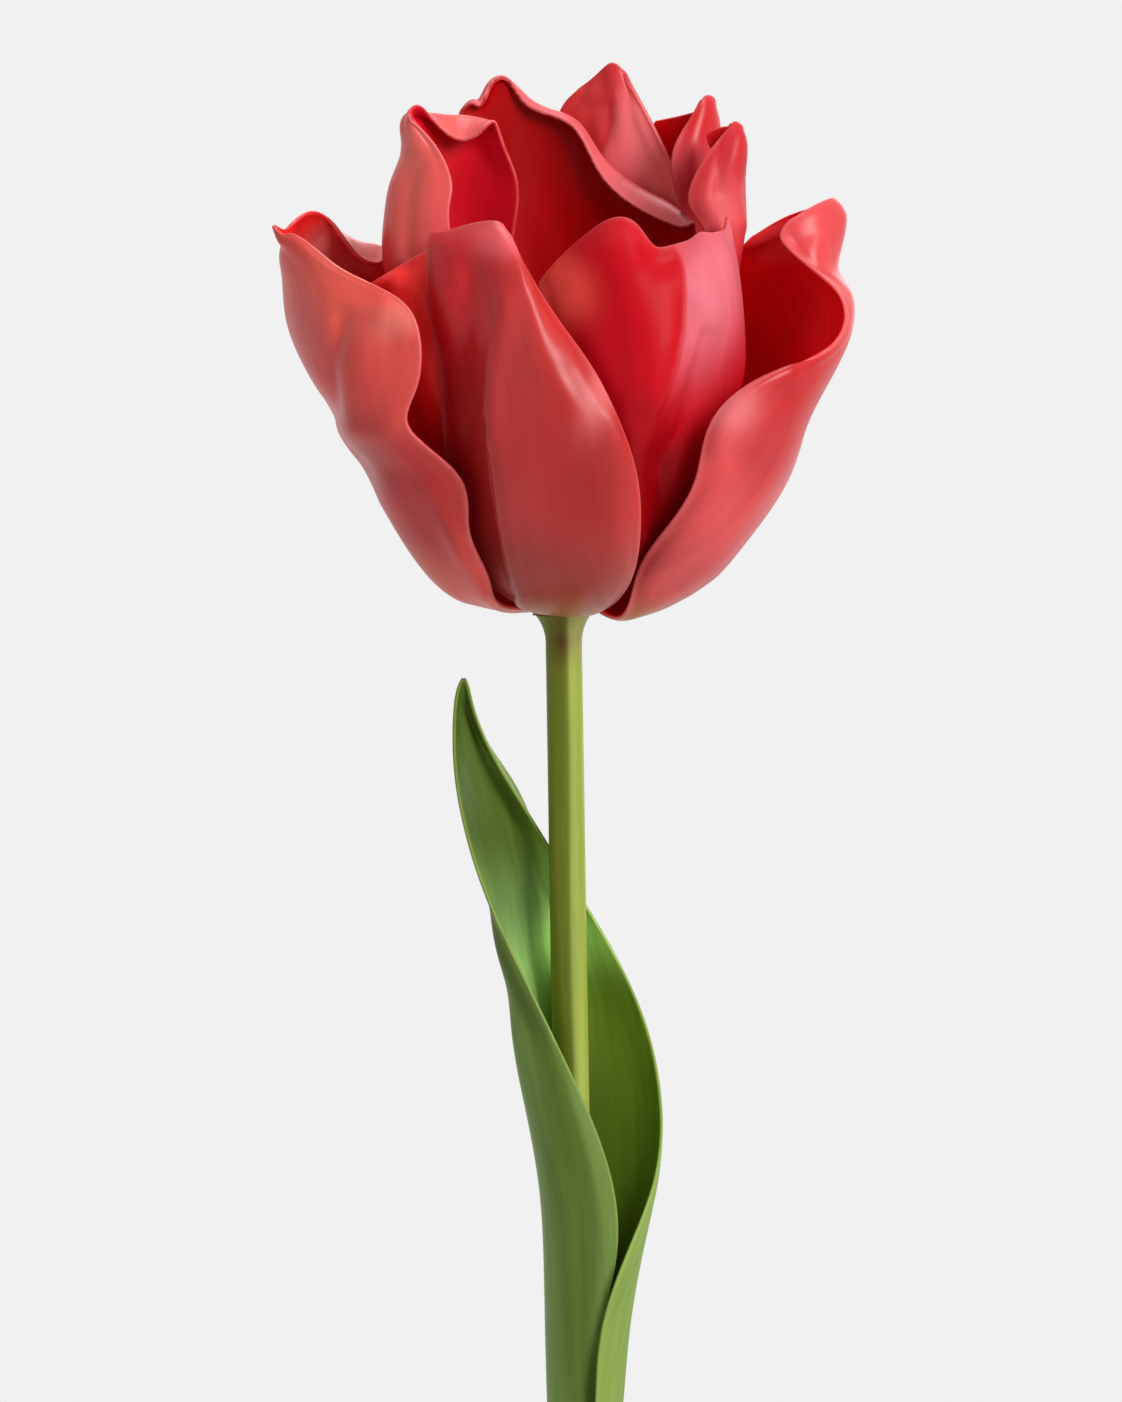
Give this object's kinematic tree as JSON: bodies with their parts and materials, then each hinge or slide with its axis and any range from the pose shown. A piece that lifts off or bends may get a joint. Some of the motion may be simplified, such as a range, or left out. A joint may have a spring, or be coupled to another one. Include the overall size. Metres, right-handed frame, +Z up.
{
  "type": "wooden tulip",
  "caption": "Carved and painted wooden tulip: a wavy red double bloom on a turned green stem with one leaf wrapped around it.",
  "frame": {"origin": "centre of the stem's cut lower end", "axes": "+Z up along the stem to the bloom, -Y towards the viewer of the picture, +X to the viewer's right"},
  "size_m": [0.0921, 0.0727, 0.3399],
  "materials": {
    "petal_paint": "satin",
    "stem_paint": "satin",
    "leaf_paint": "satin"
  },
  "bodies": {
    "stem": {"stem": "stem_paint"},
    "bloom": {"bloom_core": "petal_paint", "petal_outer_front": "petal_paint", "petal_outer_left": "petal_paint", "petal_outer_right": "petal_paint", "petal_outer_back_left": "petal_paint", "petal_outer_back_right": "petal_paint", "petal_middle_front_right": "petal_paint", "petal_middle_front_left": "petal_paint", "petal_middle_back_left": "petal_paint", "petal_middle_back": "petal_paint", "petal_middle_right": "petal_paint", "petal_inner_left": "petal_paint", "petal_inner_back": "petal_paint", "petal_inner_right": "petal_paint"},
    "leaf": {"leaf": "leaf_paint"}
  },
  "joints": [
    {"name": "bloom_lift", "type": "slide", "parent": "stem", "child": "bloom", "axis": [0, 0, 1], "range_m": [0, 0.008]},
    {"name": "leaf_turn", "type": "hinge", "parent": "stem", "child": "leaf", "pos_m": [0, 0, 0.15], "axis": [0, 0, 1], "continuous": true}
  ]
}
